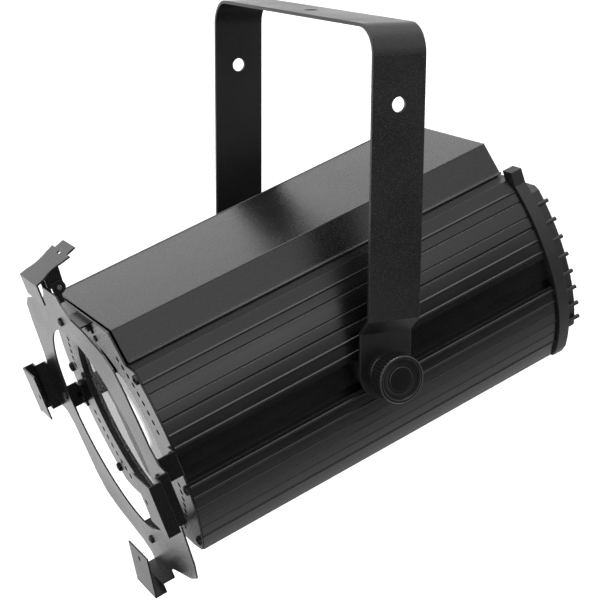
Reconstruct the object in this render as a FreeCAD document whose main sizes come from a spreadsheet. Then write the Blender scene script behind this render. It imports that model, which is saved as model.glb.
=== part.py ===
"""Theatre spotlight with a focusing lamp carriage, a ring accessory holder and a tilting yoke.

Every sub-part is modelled about the tilt axis: +X to the side, +Y towards the rear, +Z up.
At the end the head is tilted about that axis and everything is lowered, so that the origin
is the middle of the hanging hole on the crossbar's top face.
"""
import FreeCAD, Part
import math
import os
import re
import Sketcher

SIZES = {
    # Hanging yoke, one bent flat strap
    "strap_width": 50.0,
    "strap_gauge": 3.0,
    "yoke_half_width": 162.3,
    "yoke_rise": 299.0,
    "yoke_corner": 25.0,
    "hanging_hole": 6.5,
    "side_hole": 6.5,
    "side_hole_height": 233.5,
    "joggle_top": 49.0,
    "joggle_bottom": 35.0,
    "tab_outer": 148.5,
    "tilt_degrees": 20.25,
    # Pivot and clamp knobs
    "stud_radius": 5.0,
    "running_gap": 0.05,
    "face_gap": 0.35,
    "disc_radius": 24.0,
    "knob_outer_face": 178.0,
    "knob_rim_depth": 17.0,
    "knob_radius": 21.7,
    "knob_hub_radius": 14.0,
    "knob_recess_radius": 16.5,
    "knob_recess_depth": 3.5,
    # Head, seen along Y: top cover, bulging side extrusions and bottom pan
    "sheet": 1.5,
    "cover_top": 118.0,
    "cover_flat_half": 72.0,
    "cover_lip_half": 86.0,
    "cover_lip_height": 90.5,
    "cover_hem": 2.5,
    "ledge_height": 90.0,
    "bulge_centre_x": -18.5,
    "bulge_centre_z": 3.0,
    "bulge_radius": 152.5,
    "panel_wall": 3.0,
    "panel_foot": -98.0,
    "pan_flat_half": 77.0,
    "pan_floor": -101.0,
    "channel_top": 16.0,
    "channel_step": -6.0,
    "channel_foot": -13.0,
    "channel_floor_x": 129.5,
    "channel_slot_x": 125.0,
    "channel_back_x": 121.0,
    # Head, along its length
    "plate_front": -197.9,
    "panel_front": -196.2,
    "cover_front": -194.4,
    "panel_rear": 191.0,
    "cover_rear": 196.0,
    "bezel_rear": 202.5,
    "cap_rear": 222.0,
    # Lens and front plate
    "lens_axis_z": 3.5,
    "plate_opening": 88.5,
    "lens_radius": 88.0,
    "lens_front": -193.6,
    "lens_edge": 5.0,
    "lens_centre_thickness": 24.0,
    "vent_circle": 111.0,
    "vent_radius": 2.8,
    # Accessory holder
    "holder_front": -216.4,
    "holder_opening": 102.0,
    "clip_outer": 167.5,
    "clip_inner": 131.0,
    "clip_height": 50.0,
    "right_clip_mid": -6.0,
    "left_clip_mid": 3.5,
    "slot_depth": 18.5,
    "side_step_depth": 8.5,
    "side_step_inset": 9.4,
    "foot_clip_floor": -161.0,
    "foot_clip_step": -151.6,
    "foot_step_depth": 10.5,
    "foot_clip_half": 24.0,
    "foot_lip_height": 41.5,
    "foot_lip_lean": 8.5,
    "strap_x": 138.5,
    "strap_top_z": 111.0,
    "strap_foot_z": -108.5,
    "bracket_half": 12.0,
    "right_strap_mid": 11.0,
    "left_strap_mid": -10.0,
    # Top latch
    "latch_axis_y": -210.0,
    "latch_axis_z": 154.0,
    "latch_pin_radius": 2.0,
    "latch_nose": 19.0,
    "latch_half": 24.0,
    "latch_slope": 17.0,
    # Rear bezel and cap
    "bezel_margin": 3.5,
    "cap_bulge": 118.0,
    "cap_middle": -6.0,
    "cap_top": 69.0,
    "cap_foot": -87.0,
    "cap_curve": 190.0,
    "cap_wall": 4.0,
    "cap_chamfer": 1.5,
    "rib_radius": 2.0,
    "gland_z": -58.0,
    # Lamp carriage
    "rod_radius": 4.0,
    "rod_x": 42.0,
    "rod_z": -72.0,
    "rod_front": -118.0,
    "rod_rear": 176.0,
    "spindle_radius": 5.0,
    "carriage_front": -10.0,
    "carriage_length": 96.0,
    "lamp_y": 20.0,
    "lamp_radius": 14.0,
    "reflector_radius": 62.0,
    "focus_knob_radius": 17.0,
}

doc = FreeCAD.newDocument("TheatreSpotlight")
sheet = doc.addObject("Spreadsheet::Sheet", "Sizes")
for row, (alias, value) in enumerate(SIZES.items(), start=1):
    sheet.set(f"A{row}", alias)
    sheet.set(f"B{row}", str(value))
    sheet.setAlias(f"B{row}", alias)
doc.recompute()

ALIAS = re.compile(r"\b(" + "|".join(sorted(SIZES, key=len, reverse=True)) + r")\b")
AXES = {"X": FreeCAD.Vector(1, 0, 0), "Y": FreeCAD.Vector(0, 1, 0), "Z": FreeCAD.Vector(0, 0, 1)}
nodes = {}


def bound(text):
    """Turn plain alias names into references to the sheet."""
    return ALIAS.sub(r"Sizes.\1", str(text))


def value_of(text):
    """The present value of an expression, in millimetres or degrees."""
    result = sheet.evalExpression(bound(text))
    return float(getattr(result, "Value", result))


def set_size(item, prop, text):
    item.setExpression(prop, bound(text))


def set_place(item, place, turn=None):
    """Bind the base point of a primitive and, where it needs one, set its rotation."""
    if turn:
        item.Placement = FreeCAD.Placement(FreeCAD.Vector(), turn)
    for letter, text in zip("xyz", place):
        set_size(item, f".Placement.Base.{letter}", text)


# ---------------------------------------------------------------- primitives and booleans

def box(low, high, name="Block"):
    """A block between two corners, each given as three expressions."""
    item = doc.addObject("Part::Box", name)
    for prop, first, last in zip(("Length", "Width", "Height"), low, high):
        set_size(item, prop, f"({last}) - ({first})")
    set_place(item, low)
    return item


def rod(radius, start, length, axis="Y", name="Rod"):
    """A cylinder that runs from start along a positive axis."""
    item = doc.addObject("Part::Cylinder", name)
    set_size(item, "Radius", radius)
    set_size(item, "Height", length)
    set_place(item, start, FreeCAD.Rotation(AXES["Z"], AXES[axis]))
    return item


def fuse(items, name="Joined"):
    joined = doc.addObject("Part::MultiFuse", name)
    joined.Shapes = items
    return joined


def cut(base, tools, name="Trimmed"):
    trimmed = doc.addObject("Part::Cut", name)
    trimmed.Base = base
    trimmed.Tool = tools[0] if len(tools) == 1 else fuse(tools, name + "Tools")
    return trimmed


def group(items, name):
    """Separate identical pieces kept together in one node."""
    pieces = doc.addObject("Part::Compound", name)
    pieces.Links = items
    return pieces


def add_node(name, item, body):
    """Register a finished sub-part under its node name and its moving body."""
    item.Label = name
    nodes[name] = (item, body)
    return item


# ---------------------------------------------------------------- sketched sub-parts

def origin_plane(body, role):
    return next(item for item in body.Origin.OriginFeatures if item.Role == role)


def vector(point):
    return FreeCAD.Vector(value_of(point[0]), value_of(point[1]), 0)


def pin_point(sketch, index, position, point):
    """Tie one end of an edge to two expressions, across and up."""
    for kind, text in zip(("DistanceX", "DistanceY"), point):
        number = sketch.addConstraint(
            Sketcher.Constraint(kind, -1, 1, index, position, value_of(text)))
        sketch.setExpression(f"Constraints[{number}]", bound(text))


def round_edge(start, through, end):
    """An arc drawn anticlockwise, with the sketch's names for its first and last point."""
    circle = Part.Arc(start, through, end).toShape().Curve
    centre = circle.Center
    anticlockwise = (through - start).cross(end - through).z > 0
    first, last = (start, end) if anticlockwise else (end, start)
    begin = math.atan2(first.y - centre.y, first.x - centre.x)
    finish = math.atan2(last.y - centre.y, last.x - centre.x)
    if finish <= begin:
        finish += 2 * math.pi
    whole = Part.Circle(centre, FreeCAD.Vector(0, 0, 1), circle.Radius)
    names = (1, 2) if anticlockwise else (2, 1)
    return Part.ArcOfCircle(whole, begin, finish), names


def draw_loop(sketch, steps):
    """A closed outline. A step is a point, or ("arc", through, point) for a round stretch."""
    corners = [step[2] if step[0] == "arc" else step for step in steps]
    first = len(sketch.Geometry)
    names = []
    for number, step in enumerate(steps):
        start = vector(corners[number - 1])
        end = vector(corners[number])
        if step[0] == "arc":
            edge, ends = round_edge(start, vector(step[1]), end)
        else:
            edge, ends = Part.LineSegment(start, end), (1, 2)
        sketch.addGeometry(edge, False)
        names.append(ends)
    for number in range(len(steps)):
        after = (number + 1) % len(steps)
        sketch.addConstraint(Sketcher.Constraint(
            "Coincident", first + number, names[number][1], first + after, names[after][0]))
        pin_point(sketch, first + number, names[number][1], corners[number])


def draw_circle(sketch, centre, radius):
    index = sketch.addGeometry(
        Part.Circle(vector(centre), FreeCAD.Vector(0, 0, 1), value_of(radius)), False)
    pin_point(sketch, index, 3, centre)
    number = sketch.addConstraint(Sketcher.Constraint("Radius", index, value_of(radius)))
    sketch.setExpression(f"Constraints[{number}]", bound(radius))


def new_sketch(body, name, role, offset="0"):
    sketch = body.newObject("Sketcher::SketchObject", name)
    sketch.AttachmentSupport = (origin_plane(body, role), [""])
    sketch.MapMode = "FlatFace"
    set_size(sketch, ".AttachmentOffset.Base.z", offset)
    return sketch


def section(name, loops, circles, start, length):
    """A profile seen along Y, extruded from start towards the rear."""
    body = doc.addObject("PartDesign::Body", name)
    sketch = new_sketch(body, name + "_profile", "XZ_Plane", f"-({start})")
    for loop in loops:
        draw_loop(sketch, loop)
    for centre, radius in circles:
        draw_circle(sketch, centre, radius)
    pad = body.newObject("PartDesign::Pad", name + "_pad")
    pad.Profile = sketch
    pad.Reversed = True
    set_size(pad, "Length", length)
    return body


def side_section(name, loops, circles, start, length):
    """A profile seen along X, extruded from start towards +X."""
    body = doc.addObject("PartDesign::Body", name)
    sketch = new_sketch(body, name + "_profile", "YZ_Plane", start)
    for loop in loops:
        draw_loop(sketch, loop)
    for centre, radius in circles:
        draw_circle(sketch, centre, radius)
    pad = body.newObject("PartDesign::Pad", name + "_pad")
    pad.Profile = sketch
    set_size(pad, "Length", length)
    return body


def turned(name, steps, axis):
    """A half profile on the XY plane, turned about the sketch's own X or Y axis."""
    body = doc.addObject("PartDesign::Body", name)
    sketch = new_sketch(body, name + "_profile", "XY_Plane")
    draw_loop(sketch, steps)
    turn = body.newObject("PartDesign::Revolution", name + "_turn")
    turn.Profile = sketch
    turn.ReferenceAxis = (sketch, ["H_Axis" if axis == "X" else "V_Axis"])
    turn.Angle = 360
    return body


def lifted(item, height):
    """Move a finished piece up, for pieces turned about the lens axis."""
    item.Placement = FreeCAD.Placement(FreeCAD.Vector(0, 0, value_of(height)), FreeCAD.Rotation())
    return item


def pan_head(place, axis, outward, radius, depth, shank, shank_length):
    """A pan-head screw: a head that stands outward from place and a shank the other way."""
    x, y, z = place
    here = {"X": x, "Y": y, "Z": z}
    head_start = dict(here)
    shank_start = dict(here)
    if outward > 0:
        shank_start[axis] = f"({here[axis]}) - ({shank_length})"
    else:
        head_start[axis] = f"({here[axis]}) - ({depth})"
    head = rod(radius, tuple(head_start.values()), depth, axis, "Head")
    stem = rod(shank, tuple(shank_start.values()), shank_length, axis, "Shank")
    return fuse([head, stem], "Screw")


# ---------------------------------------------------------------- shared outlines

def bulge_x(height, inset="0"):
    """Half-width of the bulging side at a height, drawn in by inset."""
    return (f"(bulge_centre_x + sqrt((bulge_radius - ({inset}))^2"
            f" - (({height}) - bulge_centre_z)^2))")


def bulge_arc(low, high, inset="0", sign="1"):
    """The step for a round side stretch from height low to height high."""
    middle = f"(({low}) + ({high})) / 2"
    through = (f"{sign} * {bulge_x(middle, inset)}", middle)
    end = (f"{sign} * {bulge_x(high, inset)}", f"({high})")
    return ("arc", through, end)


def mirror_steps(points):
    """Close an outline that is given for +X only by repeating it for -X."""
    return list(points) + [(f"-({x})", z) for x, z in reversed(points)]


# ---------------------------------------------------------------- yoke

def make_yoke():
    """One flat strap: crossbar, two legs, a joggle inwards and a round tab at each pivot."""
    half = "yoke_half_width"
    inner = "(yoke_half_width - strap_gauge)"
    tab_inner = "(tab_outer - strap_gauge)"
    lean = "strap_gauge * tan(22.5)"
    corner = "yoke_corner * (1 - cos(45))"
    inner_corner = "(yoke_corner - strap_gauge)"
    foot = "-strap_width"
    outline = [
        (half, "joggle_top"),
        (half, "yoke_rise - yoke_corner"),
        ("arc", (f"{half} - {corner}", f"yoke_rise - {corner}"),
         (f"{half} - yoke_corner", "yoke_rise")),
        (f"yoke_corner - {half}", "yoke_rise"),
        ("arc", (f"{corner} - {half}", f"yoke_rise - {corner}"),
         (f"-{half}", "yoke_rise - yoke_corner")),
        (f"-{half}", "joggle_top"),
        ("-tab_outer", "joggle_bottom"),
        ("-tab_outer", foot),
        (f"-{tab_inner}", foot),
        (f"-{tab_inner}", f"joggle_bottom + {lean}"),
        (f"-{inner}", f"joggle_top + {lean}"),
        (f"-{inner}", "yoke_rise - yoke_corner"),
        ("arc", (f"-({inner} - {inner_corner} * (1 - cos(45)))",
                 f"yoke_rise - strap_gauge - {inner_corner} * (1 - cos(45))"),
         (f"yoke_corner - {half}", "yoke_rise - strap_gauge")),
        (f"{half} - yoke_corner", "yoke_rise - strap_gauge"),
        ("arc", (f"{inner} - {inner_corner} * (1 - cos(45))",
                 f"yoke_rise - strap_gauge - {inner_corner} * (1 - cos(45))"),
         (inner, "yoke_rise - yoke_corner")),
        (inner, f"joggle_top + {lean}"),
        (tab_inner, f"joggle_bottom + {lean}"),
        (tab_inner, foot),
        ("tab_outer", foot),
        ("tab_outer", "joggle_bottom"),
    ]
    strap = section("yoke_strap", [outline], [], "-strap_width / 2", "strap_width")
    side_shape = [
        ("strap_width / 2", "yoke_rise + 1"),
        ("-strap_width / 2", "yoke_rise + 1"),
        ("-strap_width / 2", "0"),
        ("arc", ("0", "-strap_width / 2"), ("strap_width / 2", "0")),
    ]
    side_holes = [
        (("0", "0"), "stud_radius + running_gap"),
        (("0", "side_hole_height"), "side_hole"),
    ]
    envelope = side_section("yoke_side_shape", [side_shape], side_holes,
                            "-yoke_half_width - 1", "2 * yoke_half_width + 2")
    shaped = doc.addObject("Part::MultiCommon", "yoke_shaped")
    shaped.Shapes = [strap, envelope]
    hanging = rod("hanging_hole", ("0", "0", "yoke_rise - 10"), "20", "Z", "hanging_hole_tool")
    add_node("yoke", cut(shaped, [hanging], "yoke_drilled"), "yoke")


# ---------------------------------------------------------------- head shell

def make_top_cover():
    """Folded sheet: flat top, two sloping shoulders with out-turned hems, a closed rear end."""
    out = [
        ("cover_lip_half + cover_hem", "cover_lip_height"),
        ("cover_lip_half + cover_hem", "cover_lip_height + 1.2"),
        ("cover_lip_half - 0.6", "cover_lip_height + 1.2"),
        ("cover_flat_half", "cover_top"),
    ]
    shell = section("cover_shell", [mirror_steps(out)], [],
                    "cover_front", "cover_rear - cover_front")
    inside = [
        ("cover_lip_half - 1.25 * sheet", "cover_lip_height - 0.3"),
        ("cover_flat_half - 0.6 * sheet", "cover_top - sheet"),
    ]
    hollow = section("cover_hollow", [mirror_steps(inside)], [],
                     "cover_front - 1", "cover_rear - sheet - cover_front + 1")
    add_node("top_cover", cut(shell, [hollow], "cover_folded"), "head")


def make_side_panel(side, sign):
    """Bulging aluminium extrusion with lengthwise beads and grooves and a stepped channel."""
    wall = "panel_wall"

    def at(x, z):
        return (f"{sign} * ({x})", z)

    outline = [
        at("cover_lip_half - 4", "ledge_height"),
        at(bulge_x("ledge_height"), "ledge_height"),
        bulge_arc("ledge_height", "channel_top", "0", sign),
        at("channel_floor_x", "channel_top"),
        at("channel_floor_x", "channel_step"),
        at("channel_slot_x", "channel_step"),
        at("channel_slot_x", "channel_foot"),
        at(bulge_x("channel_foot"), "channel_foot"),
        bulge_arc("channel_foot", "panel_foot", "0", sign),
        at(bulge_x("panel_foot", wall), "panel_foot"),
        bulge_arc("panel_foot", "channel_foot - 4", wall, sign),
        at("channel_back_x", "channel_foot - 4"),
        at("channel_back_x", "channel_top + 4"),
        at(bulge_x("channel_top + 4", wall), "channel_top + 4"),
        bulge_arc("channel_top + 4", "ledge_height - 3", wall, sign),
        at("cover_lip_half - 4", "ledge_height - 3"),
    ]
    length = "panel_rear - panel_front"
    wall_piece = section(f"panel_{side}_wall", [outline], [], "panel_front", length)
    bead_heights = (79, 33, 21.5, -18, -30, -53, -78)
    grooves_cut = ((70, 1.0), (56, 0.9), (45.5, 1.5), (-42, 1.1), (-66, 1.1))
    beads = [
        rod("1.4", (f"{sign} * ({bulge_x(height, 0.5)})", "panel_front", str(height)), length)
        for height in bead_heights]
    grooves = [
        rod(str(radius), (f"{sign} * ({bulge_x(height, -0.3)})", "panel_front - 1", str(height)),
            length + " + 2")
        for height, radius in grooves_cut]
    joined = fuse([wall_piece] + beads, f"panel_{side}_beaded")
    add_node(f"side_panel_{side}", cut(joined, grooves, f"panel_{side}_grooved"), "head")


def make_bottom_pan():
    """Shallow folded tray that closes the head from below."""
    out = [
        (bulge_x("panel_foot"), "panel_foot - 0.2"),
        ("pan_flat_half", "pan_floor"),
    ]
    tray = section("pan_tray", [mirror_steps(out)], [],
                   "panel_front", "panel_rear - panel_front")
    add_node("bottom_pan", tray, "head")


def plate_outline(margin):
    """The head's outline drawn in by a margin, for the front plate."""
    low = f"(panel_foot + {margin})"
    high = f"(ledge_height - {margin})"
    return [
        (f"cover_flat_half - {margin}", f"cover_top - {margin}"),
        (f"cover_lip_half - {margin}", high),
        (bulge_x(high, margin), high),
        bulge_arc(high, low, margin),
        ("pan_flat_half", f"pan_floor + {margin}"),
        ("-pan_flat_half", f"pan_floor + {margin}"),
        (f"-({bulge_x(low, margin)})", low),
        bulge_arc(low, high, margin, "-1"),
        (f"-(cover_lip_half - {margin})", high),
        (f"-(cover_flat_half - {margin})", f"cover_top - {margin}"),
    ]


def vent_holes():
    """Four arcs of small round vents about the lens, nine to an arc."""
    first = 14.0
    step = 4.7
    count = 9
    holes = []
    for across in (1, -1):
        for up in (1, -1):
            for number in range(count):
                angle = first + step * number
                x = f"{across} * vent_circle * cos({angle})"
                z = f"lens_axis_z + {up} * vent_circle * sin({angle})"
                holes.append(((x, z), "vent_radius"))
    return holes


def plate_screw_spots():
    """The screws that hold the plate to the extrusions and the pan."""
    return [("106", "82"), ("-106", "82"), ("101", "-85"), ("-101", "-85"),
            ("126.5", "-21.5"), ("-126.5", "22.5")]


def foot_screw_spots():
    """The screws that hold the brackets' feet to the plate."""
    return [("129", "right_strap_mid + 5"), ("-129", "left_strap_mid - 5"),
            ("14", "107"), ("-14", "107"), ("14", "-97"), ("-14", "-97")]


def lens_screw_spots():
    """The four screws that hold the lens holder behind the plate."""
    reach = "(plate_opening + 7)"
    angles = [78 + 90 * number for number in range(4)]
    return [(f"{reach} * cos({angle})", f"lens_axis_z + {reach} * sin({angle})")
            for angle in angles]


def make_front_plate():
    openings = [(("0", "lens_axis_z"), "plate_opening")] + vent_holes()
    openings += [(spot, "2") for spot in plate_screw_spots() + foot_screw_spots()]
    openings += [(spot, "1.5") for spot in lens_screw_spots()]
    plate = section("front_plate_body", [plate_outline("0.5")], openings,
                    "plate_front", "panel_front - plate_front - 0.1")
    add_node("front_plate", plate, "head")


def make_plate_screws():
    """Pan-head screws round the edge of the front plate."""
    screws = [pan_head((x, "plate_front", z), "Y", -1, "4.6", "2.8", "1.9", "1.5")
              for x, z in plate_screw_spots()]
    add_node("front_plate_screws", group(screws, "plate_screw_set"), "head")


# ---------------------------------------------------------------- lens

def make_lens():
    """Plano-convex lens, flat face outwards, and the turned holder round it."""
    back = "lens_front + lens_edge"
    sag = "(lens_centre_thickness - lens_edge)"
    ball = f"((lens_radius^2 + {sag}^2) / (2 * {sag}))"
    mid_y = f"{back} + sqrt({ball}^2 - (lens_radius / 2)^2) - {ball} + {sag}"
    glass = [
        ("0", "lens_front"),
        ("lens_radius", "lens_front"),
        ("lens_radius", back),
        ("arc", ("lens_radius / 2", mid_y), ("0", "lens_front + lens_centre_thickness")),
    ]
    add_node("front_lens", lifted(turned("lens_body", glass, "Y"), "lens_axis_z"), "head")
    holder = [
        ("lens_radius + 0.3", "panel_front + 0.1"),
        ("lens_radius + 12", "panel_front + 0.1"),
        ("lens_radius + 12", "panel_front + 1.7"),
        ("lens_radius + 3", "panel_front + 1.7"),
        ("lens_radius + 3", f"{back} + 2.5"),
        ("lens_radius - 1.5", f"{back} + 2.5"),
        ("lens_radius - 1.5", f"{back} + 0.9"),
        ("lens_radius + 0.3", f"{back} + 0.9"),
    ]
    add_node("lens_holder", lifted(turned("holder_ring", holder, "Y"), "lens_axis_z"), "head")
    screws = [pan_head((x, "plate_front", z), "Y", -1, "3", "1.8", "1.4", "1.5")
              for x, z in lens_screw_spots()]
    add_node("lens_holder_screws", group(screws, "lens_screw_set"), "head")


# ---------------------------------------------------------------- accessory holder

def holder_outline():
    """Ring blank seen from the front: necks above and below, an ear at each side."""
    def side(sign, clip_mid):
        """One half from the top neck round to the bottom neck."""
        top = f"({clip_mid} + clip_height / 2)"
        foot = f"({clip_mid} - clip_height / 2)"
        half = [
            ("20", "148"),
            ("23", "141"),
            ("38", "130"),
            ("66", "126"),
            ("104", "115"),
            ("118", "105"),
            ("126", "84"),
            ("136", f"{top} + 15"),
            ("143", f"{top} + 2"),
            ("clip_outer - side_step_inset", top),
            ("clip_outer - side_step_inset", foot),
            ("143", f"{foot} - 2"),
            ("134", f"{foot} - 15"),
            ("125", "-90"),
            ("115", "-109"),
            ("94", "-119"),
            ("60", "-128"),
            ("36", "-135"),
            ("foot_clip_half", "-143"),
            ("foot_clip_half", "foot_clip_step"),
        ]
        return [(f"{sign} * ({x})", z) for x, z in half]
    left = side(-1, "left_clip_mid")
    left.reverse()
    return side(1, "right_clip_mid") + left


def make_side_clip(sign, clip_mid):
    """Stepped web and inward lip of one side clip, with the hole in its lip."""
    top = f"{clip_mid} + clip_height / 2"
    foot = f"{clip_mid} - clip_height / 2"
    lip_back = "holder_front - slot_depth"
    step = "holder_front - side_step_depth"
    shelf_x = "(clip_outer - side_step_inset)"

    def block(x_low, x_high, y_low, y_high, z_low, name):
        if sign < 0:
            x_low, x_high = f"-({x_high})", f"-({x_low})"
        return box((x_low, y_low, z_low), (x_high, y_high, top), name)

    hole = rod("2.5", (f"{sign} * (clip_inner + 9)", f"{lip_back} - 3", clip_mid),
               "5", "Y", "LipHole")
    return [
        block(f"{shelf_x} - sheet", shelf_x, f"{step} - sheet", "holder_front + sheet", foot,
              "Shelf"),
        block(f"{shelf_x} - sheet", "clip_outer", f"{step} - sheet", step, foot, "Riser"),
        block("clip_outer - sheet", "clip_outer", f"{lip_back} - sheet", step, foot, "Web"),
        block("clip_inner", "clip_outer", f"{lip_back} - sheet", lip_back, f"{foot} + 2",
              "Lip")], [hole]


def make_foot_clip():
    """Stepped web and leaning lip of the bottom clip."""
    front = "holder_front - slot_depth - 4.4"
    step = "holder_front - foot_step_depth"
    half = "foot_clip_half"
    shelf = box((f"-{half}", step, "foot_clip_step"),
                (half, "holder_front + sheet", "foot_clip_step + sheet"), "Shelf")
    riser = box((f"-{half}", f"{step} - sheet", "foot_clip_floor"),
                (half, step, "foot_clip_step + sheet"), "Riser")
    floor = box((f"-{half}", front, "foot_clip_floor"),
                (half, step, "foot_clip_floor + sheet"), "Floor")
    lip = doc.addObject("Part::Box", "FootLip")
    for prop, text in (("Length", f"2 * {half}"), ("Width", "sheet"),
                       ("Height", "foot_lip_height")):
        set_size(lip, prop, text)
    set_place(lip, (f"-{half}", front, "foot_clip_floor"),
              FreeCAD.Rotation(AXES["X"], -value_of("foot_lip_lean")))
    hole = rod("2.5", ("0", f"{front} - 4", "foot_clip_floor + 32"), "18", "Y", "FootLipHole")
    return [shelf, riser, floor, lip], [hole]


def holder_screw_spots():
    """Where the four screws hold the ring to its brackets."""
    return (("0", "117.5"), ("0", "-117"), ("126.5", "1.5"), ("-116.5", "2.5"))


def make_accessory_holder():
    """Thin ring plate folded into three open channels, with ears for the top latch."""
    ring = section("holder_ring_plate", [holder_outline()],
                   [(("0", "lens_axis_z"), "holder_opening")], "holder_front", "sheet")
    pieces = [ring]
    tools = []
    for sign, clip_mid in ((1, "right_clip_mid"), (-1, "left_clip_mid")):
        clip_pieces, clip_tools = make_side_clip(sign, clip_mid)
        pieces += clip_pieces
        tools += clip_tools
        ear_low, ear_high = ("17.5", "19") if sign > 0 else ("-19", "-17.5")
        pieces.append(box((ear_low, "holder_front", "latch_axis_z - 14"),
                          (ear_high, "latch_axis_y", "latch_axis_z + 5.5"), "Ear"))
        pieces.append(rod("6", (ear_low, "latch_axis_y", "latch_axis_z"), "1.5", "X", "EarEnd"))
        tools.append(rod("latch_pin_radius + 0.02",
                         (f"{ear_low} - 5", "latch_axis_y", "latch_axis_z"), "11", "X", "PinHole"))
    foot_pieces, foot_tools = make_foot_clip()
    joined = fuse(pieces + foot_pieces, "holder_folded")
    for x, z in holder_screw_spots():
        tools.append(rod("2.02", (x, "holder_front - 1", z), "4", "Y", "ScrewHole"))
    add_node("accessory_holder", cut(joined, tools + foot_tools, "holder_pierced"), "head")


def make_standoffs():
    """Four bent brackets that carry the ring in front of the plate, and their screws."""
    ring_back = "holder_front + sheet"
    flange_back = f"{ring_back} + sheet"
    foot_front = "plate_front - sheet"
    spots = holder_screw_spots()
    feet = foot_screw_spots()

    def drilled(pieces, side, ring_spot, foot_spots):
        """Fuse a bracket's folds and drill its flange and its foot."""
        holes = [rod("2.02", (ring_spot[0], f"{ring_back} - 1", ring_spot[1]), "4", "Y", "Hole")]
        holes += [rod("2", (x, "plate_front - 4", z), "6", "Y", "Hole") for x, z in foot_spots]
        add_node(f"standoff_{side}", cut(fuse(pieces), holes, f"standoff_{side}_bent"), "head")

    for side, sign, spot, foot_spot in (
            ("right", 1, spots[2], feet[0]),
            ("left", -1, spots[3], feet[1])):
        low = f"{side}_strap_mid - bracket_half"
        high = f"{side}_strap_mid + bracket_half"
        flange_low = "-5" if sign > 0 else low
        flange_high = high if sign > 0 else "9"
        pieces = []
        for x_low, x_high, y_low, y_high, z_low, z_high in (
                ("strap_x - sheet", "strap_x", ring_back, "plate_front", low, high),
                ("108", "strap_x", ring_back, flange_back, flange_low, flange_high),
                ("strap_x - 13", "strap_x", foot_front, "plate_front", low, high)):
            if sign < 0:
                x_low, x_high = f"-({x_high})", f"-({x_low})"
            pieces.append(box((x_low, y_low, z_low), (x_high, y_high, z_high), "Fold"))
        drilled(pieces, side, spot, [foot_spot])
    half = "bracket_half + 8"
    for side, spot, foot_spots, flange, foot in (
            ("top", spots[0], feet[2:4], ("strap_top_z", "124"),
             ("102", "strap_top_z + sheet")),
            ("bottom", spots[1], feet[4:], ("-124", "strap_foot_z + sheet"),
             ("strap_foot_z", "-93.5"))):
        web_low = "strap_top_z" if side == "top" else "strap_foot_z"
        pieces = [
            box((f"-({half})", ring_back, web_low),
                (half, "plate_front", f"{web_low} + sheet"), "Strap"),
            box((f"-({half})", ring_back, flange[0]), (half, flange_back, flange[1]), "Flange"),
            box((f"-({half})", foot_front, foot[0]), (half, "plate_front", foot[1]), "Foot")]
        drilled(pieces, side, spot, foot_spots)
    screws = [pan_head((x, foot_front, z), "Y", -1, "3.6", "2.4", "1.9", "3")
              for x, z in feet]
    add_node("standoff_screws", group(screws, "standoff_screw_set"), "head")
    screws = [pan_head((x, "holder_front", z), "Y", -1, "4", "2.6", "2", "4.5")
              for x, z in spots]
    add_node("holder_screws", group(screws, "holder_screw_set"), "head")


# ---------------------------------------------------------------- top latch

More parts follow.
